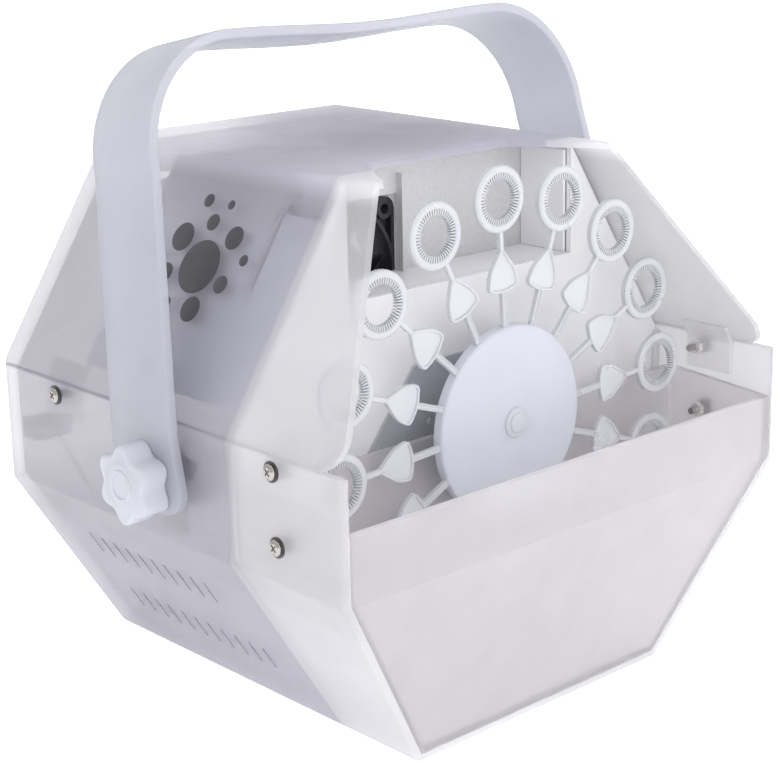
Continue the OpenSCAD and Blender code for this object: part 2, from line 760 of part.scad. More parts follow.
module handle() color([0.88, 0.89, 0.94]) {
    inner = bail_curve(0);
    strap = concat(bail_curve(strap_t), [for (i = [len(inner) - 1:-1:0]) inner[i]]);
    r = strap_w / 2;
    translate([0, pivot_y, pivot_z]) rotate([-handle_tilt, 0, 0]) difference() {
        intersection() {
            along_y(-r, r) polygon(strap);
            // rounded lower corners
            along_x(-half_w - 20, half_w + 20)
                polygon(rounded([[-r, -end_reach], [r, -end_reach], [r, handle_reach + 10],
                    [-r, handle_reach + 10]], [9, 9, 0, 0]));
        }
        x_rod(0, 0, -half_w - 20, half_w + 20, stud_r + running);
    }
}

knob_back_x = pad_x + strap_t + 0.1;
knob_front_x = knob_back_x + knob_t;
lobe_depth = 3.4;
knob_points = [for (a = [0:4:356])
    let (r = knob_r - lobe_depth * (1 - cos(knob_lobes * (a - 30))) / 2) r * [cos(a), sin(a)]];

module right_knob_shape() {
    difference() {
        union() {
            along_x(knob_back_x, knob_front_x) translate([pivot_y, pivot_z]) polygon(knob_points);
            x_rod(pivot_y, pivot_z, knob_front_x - 0.1, knob_front_x + 0.9, 6.6);
        }
        x_rod(pivot_y, pivot_z, knob_back_x - 1, knob_front_x - 2, stud_r);
        x_rod(pivot_y, pivot_z, knob_front_x + 0.3, knob_front_x + 2, 4.6);
    }
}

module right_knob() color([0.9, 0.91, 0.94, 0.8]) right_knob_shape();
module left_knob() color([0.9, 0.91, 0.94, 0.8]) mirror([1, 0, 0]) right_knob_shape();

stud_inner_x = 112;

module right_stud_shape() x_rod(pivot_y, pivot_z, stud_inner_x, knob_front_x - 2, stud_r);

module right_stud() color("silver") right_stud_shape();
module left_stud() color("silver") mirror([1, 0, 0]) right_stud_shape();

module right_spacer_shape() {
    difference() {
        x_rod(pivot_y, pivot_z, half_w, pad_x - 0.1, 11);
        x_rod(pivot_y, pivot_z, half_w - 1, pad_x + 1, stud_r + running);
    }
}

module right_spacer() color([0.8, 0.8, 0.84]) right_spacer_shape();
module left_spacer() color([0.8, 0.8, 0.84]) mirror([1, 0, 0]) right_spacer_shape();

// Nuts welded to plates that lie on the inner faces of the bands.
module stud_nuts() color("silver") {
    x1 = half_w - wall - 0.1;
    x0 = x1 - 1.6;
    both_sides() {
        x_nut(pivot_y, pivot_z, x0 - 5, x0 + 0.1, 10, stud_r + running);
        difference() {
            block([x0, pivot_y - 7, band_bottom + 2.5], [x1, pivot_y + 7, pivot_z + 10]);
            x_rod(pivot_y, pivot_z, x0 - 1, x1 + 1, stud_r + running);
        }
    }
}

// ---------------------------------------------------------------- housing fasteners

module case_screws() color("silver") {
    face = half_w + washer_t;
    both_sides() for (p = screw_places) difference() {
        union() {
            x_rod(p[0], p[1], half_w - 12, face + 0.5, screw_r);
            x_rod(p[0], p[1], face, face + 0.8, 3.1);
            translate([face + 0.7, p[0], p[1]]) rotate([0, 90, 0])
                cylinder(h = head_t - 0.7, r1 = 3.1, r2 = 1.9);
        }
        for (a = [45, 135]) translate([face + head_t, p[0], p[1]]) rotate([a, 0, 0])
            cube([1.6, 3.4, 0.8], center = true);
    }
}

module case_washers() color("silver") {
    both_sides() for (p = screw_places) difference() {
        x_rod(p[0], p[1], half_w, half_w + washer_t, 4.1);
        x_rod(p[0], p[1], half_w - 1, half_w + 1, screw_r + 0.1);
    }
}

module case_nuts() color("silver") {
    both_sides() {
        for (p = [cover_screw_front, cover_screw_back])
            x_nut(p[0], p[1], half_w - lined - tab_t - 2.6, half_w - lined - tab_t - 0.1, 5.5, screw_r);
        x_nut(tank_screw[0], tank_screw[1], half_w - lined - tank_t - 2.6, half_w - lined - tank_t - 0.1,
            5.5, screw_r);
    }
}

// ---------------------------------------------------------------- electrics

board_low = [-30, 20, 14];
board_high = [34, 70, 15.6];
post_places = [for (x = [-26, 30]) for (y = [24, 66]) [x, y]];

module control_board() color([0.1, 0.4, 0.22]) {
    difference() {
        block(board_low, board_high);
        for (p = post_places) translate([p[0], p[1], 10]) cylinder(h = 10, r = 1.3);
    }
}

module board_parts() color([0.12, 0.12, 0.13]) {
    top = board_high[2];
    for (p = [[-12, 34, 4], [-12, 46, 4], [14, 56, 5]])
        translate([p[0], p[1], top]) cylinder(h = 11, r = p[2]);
    block([0, 30, top], [10, 36, top + 2]);
    block([18, 28, top], [27, 38, top + 7]);
    block([-24, 54, top], [-10, 60, top + 8]);
}

module board_posts() color([0.85, 0.85, 0.88]) {
    for (p = post_places) translate([p[0], p[1], 0]) {
        translate([0, 0, wall]) cylinder(h = board_low[2] - wall, r = 3);
        translate([0, 0, board_low[2] - 0.5]) cylinder(h = 2.1, r = 1.25);
        translate([0, 0, board_high[2]]) cylinder(h = 1.4, r = 2.4);
    }
}

led_board_z = 64;
led_places = [for (k = [-2.5:1:2.5]) k * 22];

module led_board() color([0.92, 0.92, 0.9]) {
    block([-64, partition_y + partition_t + 0.2, led_board_z - 7],
        [64, partition_y + partition_t + 1.8, led_board_z + 7]);
}

module leds() color([0.95, 0.95, 0.85, 0.9]) {
    y0 = partition_y + partition_t + 1.8;
    for (x = led_places) {
        y_rod(x, led_board_z, y0, y0 + 1.4, 3.2);
        y_rod(x, led_board_z, y0 + 1.2, y0 + 5, 2.5);
        translate([x, y0 + 5, led_board_z]) sphere(r = 2.5);
    }
}

bezel_t = 2;
rocker_axis = [panel_back_y - 1.5, switch_z];

module rocker_switch_body() color([0.08, 0.08, 0.09]) {
    difference() {
        union() {
            block([switch_x - 10.5, panel_back_y, switch_z - 7.5],
                [switch_x + 10.5, panel_back_y + bezel_t, switch_z + 7.5]);
            block([switch_x - 9.5, panel_front_y - 10, switch_z - 6.4],
                [switch_x + 9.5, panel_back_y + 0.1, switch_z + 6.4]);
        }
        block([switch_x - 7.8, panel_back_y - 7, switch_z - 5],
            [switch_x + 7.8, panel_back_y + 5, switch_z + 5]);
        translate([switch_x, rocker_axis[0], switch_z - 5.8]) cylinder(h = 11.6, r = rocker_pin_r + running);
    }
    for (x = [-6, 0, 6]) block([switch_x + x - 0.4, panel_front_y - 18, switch_z - 2.4],
        [switch_x + x + 0.4, panel_front_y - 9.9, switch_z + 2.4]);
}

rocker_tilt = 9;
rocker_pin_r = 1.2;

module switch_rocker() color([0.15, 0.15, 0.16]) {
    // the rocker stands at its off position
    translate([switch_x, rocker_axis[0], 0]) rotate([0, 0, rocker_tilt]) {
        along_z(switch_z - 4.7, switch_z + 4.7)
            polygon([[-7.1, 4.6], [0, 3.4], [7.1, 4.6], [5.6, -2.6], [-5.6, -2.6]]);
        translate([0, 0, switch_z - 5.7]) cylinder(h = 11.4, r = rocker_pin_r);
    }
}

module power_inlet() color([0.08, 0.08, 0.09]) {
    difference() {
        union() {
            y_rod(inlet_x, inlet_z, panel_front_y - 11, panel_back_y + 0.1, 5.4);
            y_rod(inlet_x, inlet_z, panel_back_y, panel_back_y + 2, 7);
        }
        y_rod(inlet_x, inlet_z, panel_front_y - 8, panel_back_y + 3, 3.2);
    }
    y_rod(inlet_x, inlet_z, panel_front_y - 9, panel_back_y + 0.5, 1);
}

module inlet_nut() color("silver") {
    difference() {
        translate([inlet_x, panel_front_y - 0.1, inlet_z]) rotate([90, 0, 0])
            cylinder(h = 2.4, r = 8, $fn = 6);
        y_rod(inlet_x, inlet_z, panel_front_y - 5, panel_front_y + 1, 5.4);
    }
}

lead_r = 1.3;

module fan_lead() color([0.6, 0.1, 0.1])
    wire(smooth([[-56, 4.6, 160], [-58, 10, 156], [-58, 16, 130], [-56, 26, 80], [-44, 44, 42],
        [-26, 54, 28], [-17, 57, 25.2]]), lead_r);

module motor_lead() color([0.15, 0.15, 0.5])
    wire(smooth([[12, -3.7, 98], [12, 2, 97], [12, 8, 88], [11, 16, 60], [8, 24, 36], [6, 30, 22],
        [5, 32.5, 18.9]]), lead_r);

module supply_lead() color([0.1, 0.1, 0.1])
    wire(smooth([[56, 84, 54], [52, 76, 50], [46, 64, 40], [40, 52, 31], [32, 42, 26], [25, 35, 24.2]]),
        lead_r);

// ---------------------------------------------------------------- the parts

lower_shell();
fluid_tank();
upper_cover();
cover_tabs();
rear_panel();
rear_panel_screws();
partition();
air_duct();
inner_housing();
fan_frame();
fan_rotor();
fan_screws();
fan_lead();
bubble_wheel();
drive_collar();
collar_screw();
output_shaft();
output_gear();
idler_gear();
idler_pin();
motor_rotor();
gear_case();
gear_flange();
motor_can();
motor_bracket();
bracket_screws();
motor_lead();
handle();
left_knob();
right_knob();
left_stud();
right_stud();
left_spacer();
right_spacer();
stud_nuts();
case_screws();
case_washers();
case_nuts();
control_board();
board_parts();
board_posts();
led_board();
leds();
rocker_switch_body();
switch_rocker();
power_inlet();
inlet_nut();
supply_lead();
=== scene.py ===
"""Looks of the bubble machine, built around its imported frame."""
import json
import math

import bmesh
import bpy
from mathutils import Matrix, Vector


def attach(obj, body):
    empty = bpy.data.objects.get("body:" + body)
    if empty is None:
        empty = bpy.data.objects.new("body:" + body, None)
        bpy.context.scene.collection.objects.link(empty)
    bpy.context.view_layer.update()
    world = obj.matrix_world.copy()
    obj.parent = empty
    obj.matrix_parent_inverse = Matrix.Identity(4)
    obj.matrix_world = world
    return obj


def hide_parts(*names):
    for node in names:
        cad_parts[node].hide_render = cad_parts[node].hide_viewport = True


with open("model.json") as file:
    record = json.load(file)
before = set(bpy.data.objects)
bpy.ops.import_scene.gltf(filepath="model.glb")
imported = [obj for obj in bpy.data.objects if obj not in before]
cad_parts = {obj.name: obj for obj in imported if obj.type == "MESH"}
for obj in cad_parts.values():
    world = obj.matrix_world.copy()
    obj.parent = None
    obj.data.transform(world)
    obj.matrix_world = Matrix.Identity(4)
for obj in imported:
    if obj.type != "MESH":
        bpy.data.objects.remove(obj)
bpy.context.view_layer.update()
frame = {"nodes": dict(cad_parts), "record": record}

MM = 0.001
BODY = "housing"
SPAN = {"X": (-0.125, 0.125), "Y": (-0.111, 0.111), "Z": (0.0, 0.227)}   # the housing, in metres
# Painted shade: past the partition the frosted shell is painted darker, blending over PARTITION_BLUR.
PARTITION_AT, PARTITION_BLUR = 0.294, 0.008      # shares of the housing's depth
# Painted light by height: the roof top is painted lighter from ROOF_AT up, and the back end of the shell is painted
# darker still by the fade.
ROOF_AT, ROOF_PAINTED_LIGHT, REAR_SHADE_FADE = 0.985, 1.45, 0.84
WHITE = (1.0, 1.0, 1.0)


# ---------------------------------------------------------------- materials

class Tree:
    """A small wrapper that adds nodes to a material and links them."""

    def __init__(self, name):
        self.material = bpy.data.materials.new(name)
        self.material.use_nodes = True
        self.tree = self.material.node_tree
        self.shader = self.tree.nodes["Principled BSDF"]
        self.place = self.tree.nodes.new("ShaderNodeTexCoord").outputs["Object"]

    def node(self, kind, values=None, **settings):
        made = self.tree.nodes.new(kind)
        for key, value in settings.items():
            setattr(made, key, value)
        for key, value in (values or {}).items():
            if isinstance(value, bpy.types.NodeSocket):
                self.tree.links.new(value, made.inputs[key])
            else:
                made.inputs[key].default_value = value
        return made

    def set(self, name, value):
        if isinstance(value, bpy.types.NodeSocket):
            self.tree.links.new(value, self.shader.inputs[name])
        else:
            self.shader.inputs[name].default_value = value

    def noise(self, scale, detail=3.0):
        return self.node("ShaderNodeTexNoise", {"Vector": self.place, "Scale": scale, "Detail": detail,
                                                "Roughness": 0.55}).outputs["Fac"]

    def ramp(self, fac, stops):
        made = self.node("ShaderNodeValToRGB", {"Fac": fac})
        elements = made.color_ramp.elements
        while len(elements) < len(stops):
            elements.new(0.5)
        for element, (at, colour) in zip(elements, stops):
            element.position = at
            element.color = (*colour, 1.0)
        return made.outputs["Color"]

    def along(self, axis):
        """0 at the left, front or bottom of the housing and 1 at its other end."""
        place = self.node("ShaderNodeSeparateXYZ", {"Vector": self.place}).outputs[axis]
        return self.spread(place, 0.0, 1.0, *SPAN[axis])

    def times(self, a, b):
        return self.node("ShaderNodeVectorMath", {0: a, 1: b}, operation="MULTIPLY").outputs["Vector"]

    def spread(self, fac, low, high, start=0.3, end=0.7):
        return self.node("ShaderNodeMapRange", {"Value": fac, "From Min": start, "From Max": end,
                                                "To Min": low, "To Max": high}).outputs["Result"]

    def bump(self, height, strength, distance, normal=None):
        values = {"Height": height, "Strength": strength, "Distance": distance}
        if normal:
            values["Normal"] = normal
        return self.node("ShaderNodeBump", values).outputs["Normal"]


def shade(colour, factor):
    return tuple(min(1.0, c * factor) for c in colour)


def frosted(name, colour, alpha, roughness, through, painted_rear_shade=None, grain=0.25, painted_top_shade=1.0, right=1.0, dense=None):
    """Milky moulded plastic: sandy and partly see-through, with painted shade where asked: a darker back part past
    the partition, a darker top part with a painted lighter roof top, and a darker right part; and a denser lower or
    right part where asked."""
    t = Tree(name)
    cloudy = t.ramp(t.noise(26.0, 2.0), [(0.3, (0.98,) * 3), (0.7, WHITE)])
    shaded_back_colour = painted_rear_shade or colour
    # Painted shade along the depth: past the partition the colour turns darker and a little bluer, and darker still
    # towards the back end; the darkening is painted shade, the blue the plastic's own colour.
    painted_light_tint = t.ramp(t.along("Y"), [
        (0.0, colour), (PARTITION_AT, colour), (PARTITION_AT + PARTITION_BLUR, shaded_back_colour),
        (1.0, shade(shaded_back_colour, REAR_SHADE_FADE if painted_rear_shade else 1.0))])
    # Painted shade by height: the top part is painted darker than the lower band, with a painted lighter band on the
    # roof top.
    if painted_top_shade < 1:
        high = t.ramp(t.along("Z"), [
            (0.2, WHITE), (0.38, (painted_top_shade,) * 3), (0.96, (painted_top_shade,) * 3), (ROOF_AT, (painted_top_shade * ROOF_PAINTED_LIGHT,) * 3)])
        painted_light_tint = t.times(painted_light_tint, high)
    # Painted shade: the right part of the housing is painted darker.
    if right < 1:
        painted_light_tint = t.times(painted_light_tint, t.ramp(t.along("X"), [(0.45, WHITE), (0.6, (right,) * 3)]))
    t.set("Base Color", t.times(painted_light_tint, cloudy))
    t.set("Roughness", t.spread(t.noise(55.0, 4.0), roughness - 0.05, roughness + 0.08))
    wave = t.bump(t.noise(24.0, 2.0), 0.1, 0.001)
    t.set("Normal", t.bump(t.noise(2600.0, 2.0), grain, 0.00012, wave))
    if dense:
        low = t.spread(t.along("Z"), dense, alpha, 0.3, 0.42)
        side = t.spread(t.along("X"), alpha, dense, 0.45, 0.6)
        t.set("Alpha", t.node("ShaderNodeMath", {0: low, 1: side}, operation="MAXIMUM").outputs["Value"])
    elif alpha < 1:
        t.set("Alpha", t.spread(t.noise(40.0, 2.0), alpha - 0.02, alpha + 0.02))
    t.set("Transmission Weight", through)
    t.set("IOR", 1.46)
    return t.material


def metal(name, colour, roughness, spangle=0.0, metallic=1.0, wing_painted_light=None):
    """Sheet or turned metal with a fine grain, and crystals where it is galvanised."""
    t = Tree(name)
    lines = t.noise(900.0, 2.0)
    base = t.ramp(lines, [(0.3, shade(colour, 0.93)), (0.7, shade(colour, 1.05))])
    rough = t.spread(lines, roughness - 0.05, roughness + 0.08)
    if spangle:
        cells = t.node("ShaderNodeTexVoronoi", {"Vector": t.place, "Scale": 1100.0}).outputs["Color"]
        mono = t.node("ShaderNodeSeparateColor", {"Color": cells}).outputs["Red"]
        base = t.ramp(mono, [(0.0, shade(colour, 1 - spangle)), (1.0, shade(colour, 1 + spangle))])
        # Painted light: the wing plates at the left are painted lighter and bluer than the rest of the sheet, which
        # is painted darker, standing for light through the frosted shell.
        if wing_painted_light:
            painted_light_tint = t.ramp(t.along("X"), [(0.18, wing_painted_light), (0.24, (0.64, 0.64, 0.64))])
            base = t.times(base, painted_light_tint)
        rough = t.spread(mono, roughness - 0.1, roughness + 0.12, 0.0, 1.0)
    t.set("Base Color", base)
    t.set("Roughness", rough)
    t.set("Metallic", metallic)
    t.set("Normal", t.bump(lines, 0.06, 0.00008))
    return t.material


def plain_plastic(name, colour, roughness):
    """Opaque moulded plastic, rubber or lacquer with a fine grain."""
    t = Tree(name)
    t.set("Base Color", t.ramp(t.noise(60.0, 3.0), [(0.3, shade(colour, 0.9)), (0.7, shade(colour, 1.1))]))
    t.set("Roughness", t.spread(t.noise(140.0, 3.0), roughness - 0.06, roughness + 0.08))
    t.set("Normal", t.bump(t.noise(1800.0, 2.0), 0.2, 0.0001))
    return t.material


looks = {
    # Shell with painted shade past the partition, on its top part and on its right part, and a painted lighter roof
    # top.
    "frosted_shell": frosted("frosted_shell_look", (0.90, 0.89, 0.93), 0.5, 0.4, 0.5, (0.62, 0.61, 0.70),
                             painted_top_shade=0.9, right=0.92, dense=0.76),
    "frosted_tank": frosted("frosted_tank_look", (0.97, 0.95, 0.97), 0.84, 0.42, 0.8),
    "milky_plastic": frosted("milky_look", (0.72, 0.74, 0.82), 0.9, 0.32, 0.2, grain=0.1),
    "handle_plastic": frosted("handle_look", (0.68, 0.69, 0.77), 0.84, 0.45, 0.5, grain=0.12),
    # Sheet steel with painted light on the wing plates at the left.
    "sheet_steel": metal("sheet_steel_look", (0.95, 0.94, 0.96), 0.5, 0.05, 0.15, wing_painted_light=(1.05, 1.06, 1.12)),
    "plated_steel": metal("plated_steel_look", (0.42, 0.43, 0.46), 0.3),
    "dark_steel": metal("dark_steel_look", (0.50, 0.51, 0.55), 0.4, 0.0, 0.3),
    "bright_steel": metal("bright_steel_look", (0.46, 0.44, 0.42), 0.2),
    "brass_collar": metal("brass_look", (0.72, 0.52, 0.22), 0.25),
    "gear_nylon": plain_plastic("nylon_look", (0.75, 0.72, 0.62), 0.5),
    "black_plastic": plain_plastic("black_look", (0.018, 0.018, 0.021), 0.42),
    "board_green": plain_plastic("board_look", (0.02, 0.12, 0.05), 0.3),
    "board_white": plain_plastic("light_board_look", (0.75, 0.75, 0.72), 0.35),
    "led_lens": frosted("led_look", (0.85, 0.87, 0.95), 0.6, 0.12, 0.3, grain=0.05),
    "red_cable": plain_plastic("red_cable_look", (0.45, 0.02, 0.02), 0.4),
    "blue_cable": plain_plastic("blue_cable_look", (0.02, 0.03, 0.2), 0.4),
    "black_cable": plain_plastic("black_cable_look", (0.015, 0.015, 0.016), 0.4),
}
slot_of = {s["node"]: s["material_slot"] for s in frame["record"]["subparts"]}
mark_look = plain_plastic("mark_look", (0.075, 0.075, 0.085), 0.5)
ring_look = frosted("ring_look", (0.74, 0.75, 0.80), 0.9, 0.3, 0.2, grain=0.1)
tab_look = frosted("tab_look", (0.95, 0.94, 0.96), 0.5, 0.4, 0.4)
nut_look = metal("nut_look", (0.8, 0.79, 0.77), 0.3, metallic=0.7)
wall_look = frosted("wall_look", (0.96, 0.95, 0.98), 1.0, 0.4, 0.1)
# Painted highlight along the bevelled edges of the frosted parts.
edge_highlight_look = frosted("edge_highlight_look", (0.93, 0.93, 0.97), 0.7, 0.3, 0.0, grain=0.1)
washer_look = metal("washer_look", (0.10, 0.10, 0.10), 0.35)

for name, obj in frame["nodes"].items():
    obj.data.materials.clear()
    look = {"partition": wall_look, "air_duct": wall_look, "cover_tabs": tab_look, "case_nuts": nut_look,
            "case_washers": washer_look}.get(name)
    obj.data.materials.append(look or looks[slot_of[name]])


# ---------------------------------------------------------------- mesh helpers

def finish_piece(name, bm, look, body, smooth_angle=35.0):
    """Turns a bmesh in millimetres into a piece that rides on a body."""
    bmesh.ops.remove_doubles(bm, verts=bm.verts, dist=1e-4)
    bmesh.ops.recalc_face_normals(bm, faces=bm.faces)
    mesh = bpy.data.meshes.new(name)
    bmesh.ops.scale(bm, vec=(MM, MM, MM), verts=bm.verts)
    bm.to_mesh(mesh)
    bm.free()
    for polygon in mesh.polygons:
        polygon.use_smooth = True
    mesh.set_sharp_from_angle(angle=math.radians(smooth_angle))
    obj = bpy.data.objects.new(name, mesh)
    bpy.context.scene.collection.objects.link(obj)
    obj.data.materials.append(look)
    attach(obj, body)
    return obj


def loft(bm, loops, closed_ends=True):
    """Skins closed loops of equal length, one after another."""
    rings = [[bm.verts.new(p) for p in loop] for loop in loops]
    n = len(rings[0])
    for a, b in zip(rings, rings[1:]):
        for k in range(n):
            bm.faces.new((a[k], a[(k + 1) % n], b[(k + 1) % n], b[k]))
    if closed_ends:
        bm.faces.new(rings[0][::-1])
        bm.faces.new(rings[-1])


def rounded_corner(a, p, b, r, steps):
    u, v = (a - p).normalized(), (b - p).normalized()
    half = math.acos(max(-1, min(1, u.dot(v)))) / 2
    centre = p + (u + v).normalized() * r / math.sin(half)
    first, last = p + u * r / math.tan(half) - centre, p + v * r / math.tan(half) - centre
    start = math.atan2(first.y, first.x)
    sweep = (math.atan2(last.y, last.x) - start + math.pi) % (2 * math.pi) - math.pi
    return [centre + Vector((math.cos(start + sweep * k / steps), math.sin(start + sweep * k / steps))) * r
            for k in range(steps + 1)]


def rounded(points, radii, steps=6):
    points = [Vector(p) for p in points]
    n = len(points)
    made = []
    for i, r in enumerate(radii):
        made += rounded_corner(points[i - 1], points[i], points[(i + 1) % n], r, steps)
    return made


# ---------------------------------------------------------------- bubble wheel

WHEEL_Y, SHAFT_Z = -70.7, 121.0
WANDS, FIRST_WAND, RING_PATH = 16, 3.85, 92.5
RING_R, RIM_IN, TEETH_IN, TEETH = 13.5, 10.4, 7.9, 48
HUB_R = 40.0


def on_wheel(u, v, w):
    """From the wheel's own plane, w towards the front, to the frame."""
    return Vector((u, WHEEL_Y - w, SHAFT_Z + v))


def wand_to_wheel(k):
    turn = Matrix.Rotation(math.radians(FIRST_WAND + 360 / WANDS * k), 2)
    return lambda p: turn @ Vector(p)


def slab(bm, place, outline, profile):
    """A prism over an outline; profile lists (inset towards the centroid, w)."""
    centre = sum((Vector(p) for p in outline), Vector((0, 0))) / len(outline)
    loops = []
    for inset, w in profile:
        loop = []
        for p in outline:
            v = Vector(p) - centre
            q = centre + v * (1 - inset / v.length)
            loop.append(on_wheel(*place(q), w))
        loops.append(loop)
    loft(bm, loops)


def bar(bm, place, u0, u1, half, w):
    edge = 0.35
    outline = [(u0, -half), (u1, -half), (u1, half), (u0, half)]
    loops = []
    for shrink, level in ((edge, -w), (0, -w + edge), (0, w - edge), (edge, w)):
        loops.append([on_wheel(*place((u, math.copysign(half - shrink, v))), level) for u, v in outline])
    loft(bm, loops)


def ring(bm, place):
    """Rim with fine ribs round its outside and fine teeth round its inside."""
    steps = 2 * TEETH
    loops = []
    for k in range(steps):
        a, rib = 2 * math.pi * k / steps, 0.22 * (k % 2)
        section = [(RIM_IN, -1.3), (RIM_IN + 0.4, -1.7), (RING_R - 0.8, -1.7), (RING_R - rib, -1.1),
                   (RING_R - rib, 1.1), (RING_R - 0.8, 1.7), (RIM_IN + 0.4, 1.7), (RIM_IN, 1.3)]
        loops.append([on_wheel(*place((RING_PATH + r * math.cos(a), r * math.sin(a))), w) for r, w in section])
    loft(bm, loops + [loops[0]], closed_ends=False)
    for k in range(TEETH):
        a = 2 * math.pi * (k + 0.5) / TEETH
        along, across = Vector((math.cos(a), math.sin(a))), Vector((-math.sin(a), math.cos(a)))
        loops = []
        for r, half, w in ((RIM_IN + 0.3, 0.4, 1.35), (TEETH_IN + 0.5, 0.3, 1.3), (TEETH_IN, 0.18, 1.0)):
            corners = ((-half, -w), (half, -w), (half, w), (-half, w))
            loops.append([on_wheel(*place(Vector((RING_PATH, 0)) + along * r + across * c), d) for c, d in corners])
        loft(bm, loops)


def paddle(bm, place):
    """Shield between the arm's two stretches, with a raised rim round a thin web."""
    outline = rounded([(56, -8.6), (63.5, -7), (72.8, 0), (63.5, 7), (56, 8.6), (53.8, 0)],
                      (2.4, 12, 1.6, 12, 2.4, 14), 5)
    slab(bm, place, outline, ((1.3, -0.4), (1.0, -1.2), (0.3, -1.2), (0, -0.9), (0, 0.9), (0.3, 1.2), (1.0, 1.2),
                              (1.3, 0.4)))


def build_wheel():
    bm = bmesh.new()
    for k in range(WANDS):
        place = wand_to_wheel(k)
        ring(bm, place)
        paddle(bm, place)
        bar(bm, place, 71.2, RING_PATH - RING_R + 0.6, 1.0, 1.2)
        bar(bm, place, HUB_R - 2.5, 54.6, 1.2, 0.7)
        for side in (-0.95, 0.95):
            shifted = (lambda p, s=side, f=place: f((p[0], p[1] + s)))
            bar(bm, shifted, HUB_R - 2.5, 54.6, 0.36, 1.3)
    wands = finish_piece("wand_ring", bm, ring_look, "wheel")
    bm = bmesh.new()
    profile = [(0.01, 5.7), (3.6, 5.65), (4.2, 5.3), (4.4, 4.75), (5.9, 4.7), (6.4, 4.3), (6.5, 3.7), (7.4, 3.42),
               (12, 3.4), (18, 3.22), (24, 2.95), (30, 2.6), (35, 2.15), (38.4, 1.75), (39.5, 1.5), (40, 0.9),
               (40, -2.8), (39.7, -3), (38.4, -3), (38.1, -2.8), (38.1, 0.2), (36, 0.55), (30, 1.1), (18, 1.6),
               (7.5, 1.8), (7.5, -2.4), (7.2, -2.6), (0.01, -2.6)]
    steps = 128
    loops = [[on_wheel(r * math.cos(2 * math.pi * k / steps), r * math.sin(2 * math.pi * k / steps), w)
              for k in range(steps)] for r, w in profile]
    loft(bm, loops)
    finish_piece("hub_disc", bm, looks["milky_plastic"], "wheel", 50.0)
    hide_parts("bubble_wheel")


build_wheel()


# ---------------------------------------------------------------- handle and knobs

PIVOT = Vector((0, -5.5, 113))
PAD_X, PAD_REACH, LEAN, BEND_REACH = 129.5, 17.0, 0.133, 117.0
BEND_W, GRIP_SAG, END_REACH, END_R = 42.0, 2.5, 14.0, 9.0
HANDLE_REACH, STRAP_T, STRAP_W, TILT = 166.2, 4.2, 40.0, 12.0
KNOB_R, KNOB_T, LOBE_DEPTH = 16.2, 12.0, 3.4


def handle_line(t):
    """The handle's outline moved outward by t, from the right pivot to the top, as (x, reach)."""
    bend_x = PAD_X - LEAN * (BEND_REACH - PAD_REACH)
    a, b = BEND_W + t, HANDLE_REACH - STRAP_T - BEND_REACH + t
    points = [(PAD_X + t, z) for z in (0, 8, PAD_REACH)]
    points += [(PAD_X + t - LEAN * z, PAD_REACH + z) for z in (4, 20, 40, 60, 80)]
    points += [(bend_x + t - a * (1 - math.cos(q)), BEND_REACH + b * math.sin(q))
               for q in (math.pi / 2 * k / 40 for k in range(41))]
    top_x = bend_x + t - a
    points += [(top_x * (1 - k / 12), BEND_REACH + b - GRIP_SAG * (1 - math.cos(math.pi * k / 12)) / 2)
               for k in range(1, 12)]
    return points


def build_handle():
    tilt = Matrix.Rotation(math.radians(-TILT), 3, "X")
    inner, outer = handle_line(0.0), handle_line(STRAP_T)
    stations = []
    for k in range(9):              # the rounded end below the pivot
        a = math.pi / 2 * k / 8
        z = END_R - END_REACH - END_R * math.cos(a)
        stations.append(((PAD_X, z), (PAD_X + STRAP_T, z), STRAP_W / 2 - END_R + END_R * math.sin(a)))
    stations += [(p, q, STRAP_W / 2) for p, q in zip(inner, outer)]
    top = HANDLE_REACH - STRAP_T - GRIP_SAG
    middle = [((0, top), (0, top + STRAP_T), STRAP_W / 2)]
    whole = stations + middle + [((-p[0], p[1]), (-q[0], q[1]), w) for p, q, w in reversed(stations)]
    bm = bmesh.new()
    soft = 0.7
    loops = []
    for (px, pz), (qx, qz), half in whole:
        r = min(soft, half * 0.6)
        loop = []
        for depth, y in ((0, -half + r), (0.2, -half + 0.3 * r), (r, -half), (STRAP_T - r, -half),
                         (STRAP_T - 0.2, -half + 0.3 * r), (STRAP_T, -half + r), (STRAP_T, half - r),
                         (STRAP_T - 0.2, half - 0.3 * r), (STRAP_T - r, half), (r, half),
                         (0.2, half - 0.3 * r), (0, half - r)):
            f = depth / STRAP_T
            loop.append(PIVOT + tilt @ Vector((px + (qx - px) * f, y, pz + (qz - pz) * f)))
        loops.append(loop)
    loft(bm, loops)
    strap = finish_piece("handle_strap", bm, looks["handle_plastic"], "carrying handle", 60.0)
    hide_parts("handle")


def knob_radius(a):
    return KNOB_R - LOBE_DEPTH * (1 - math.cos(6 * (a - math.radians(30)))) / 2


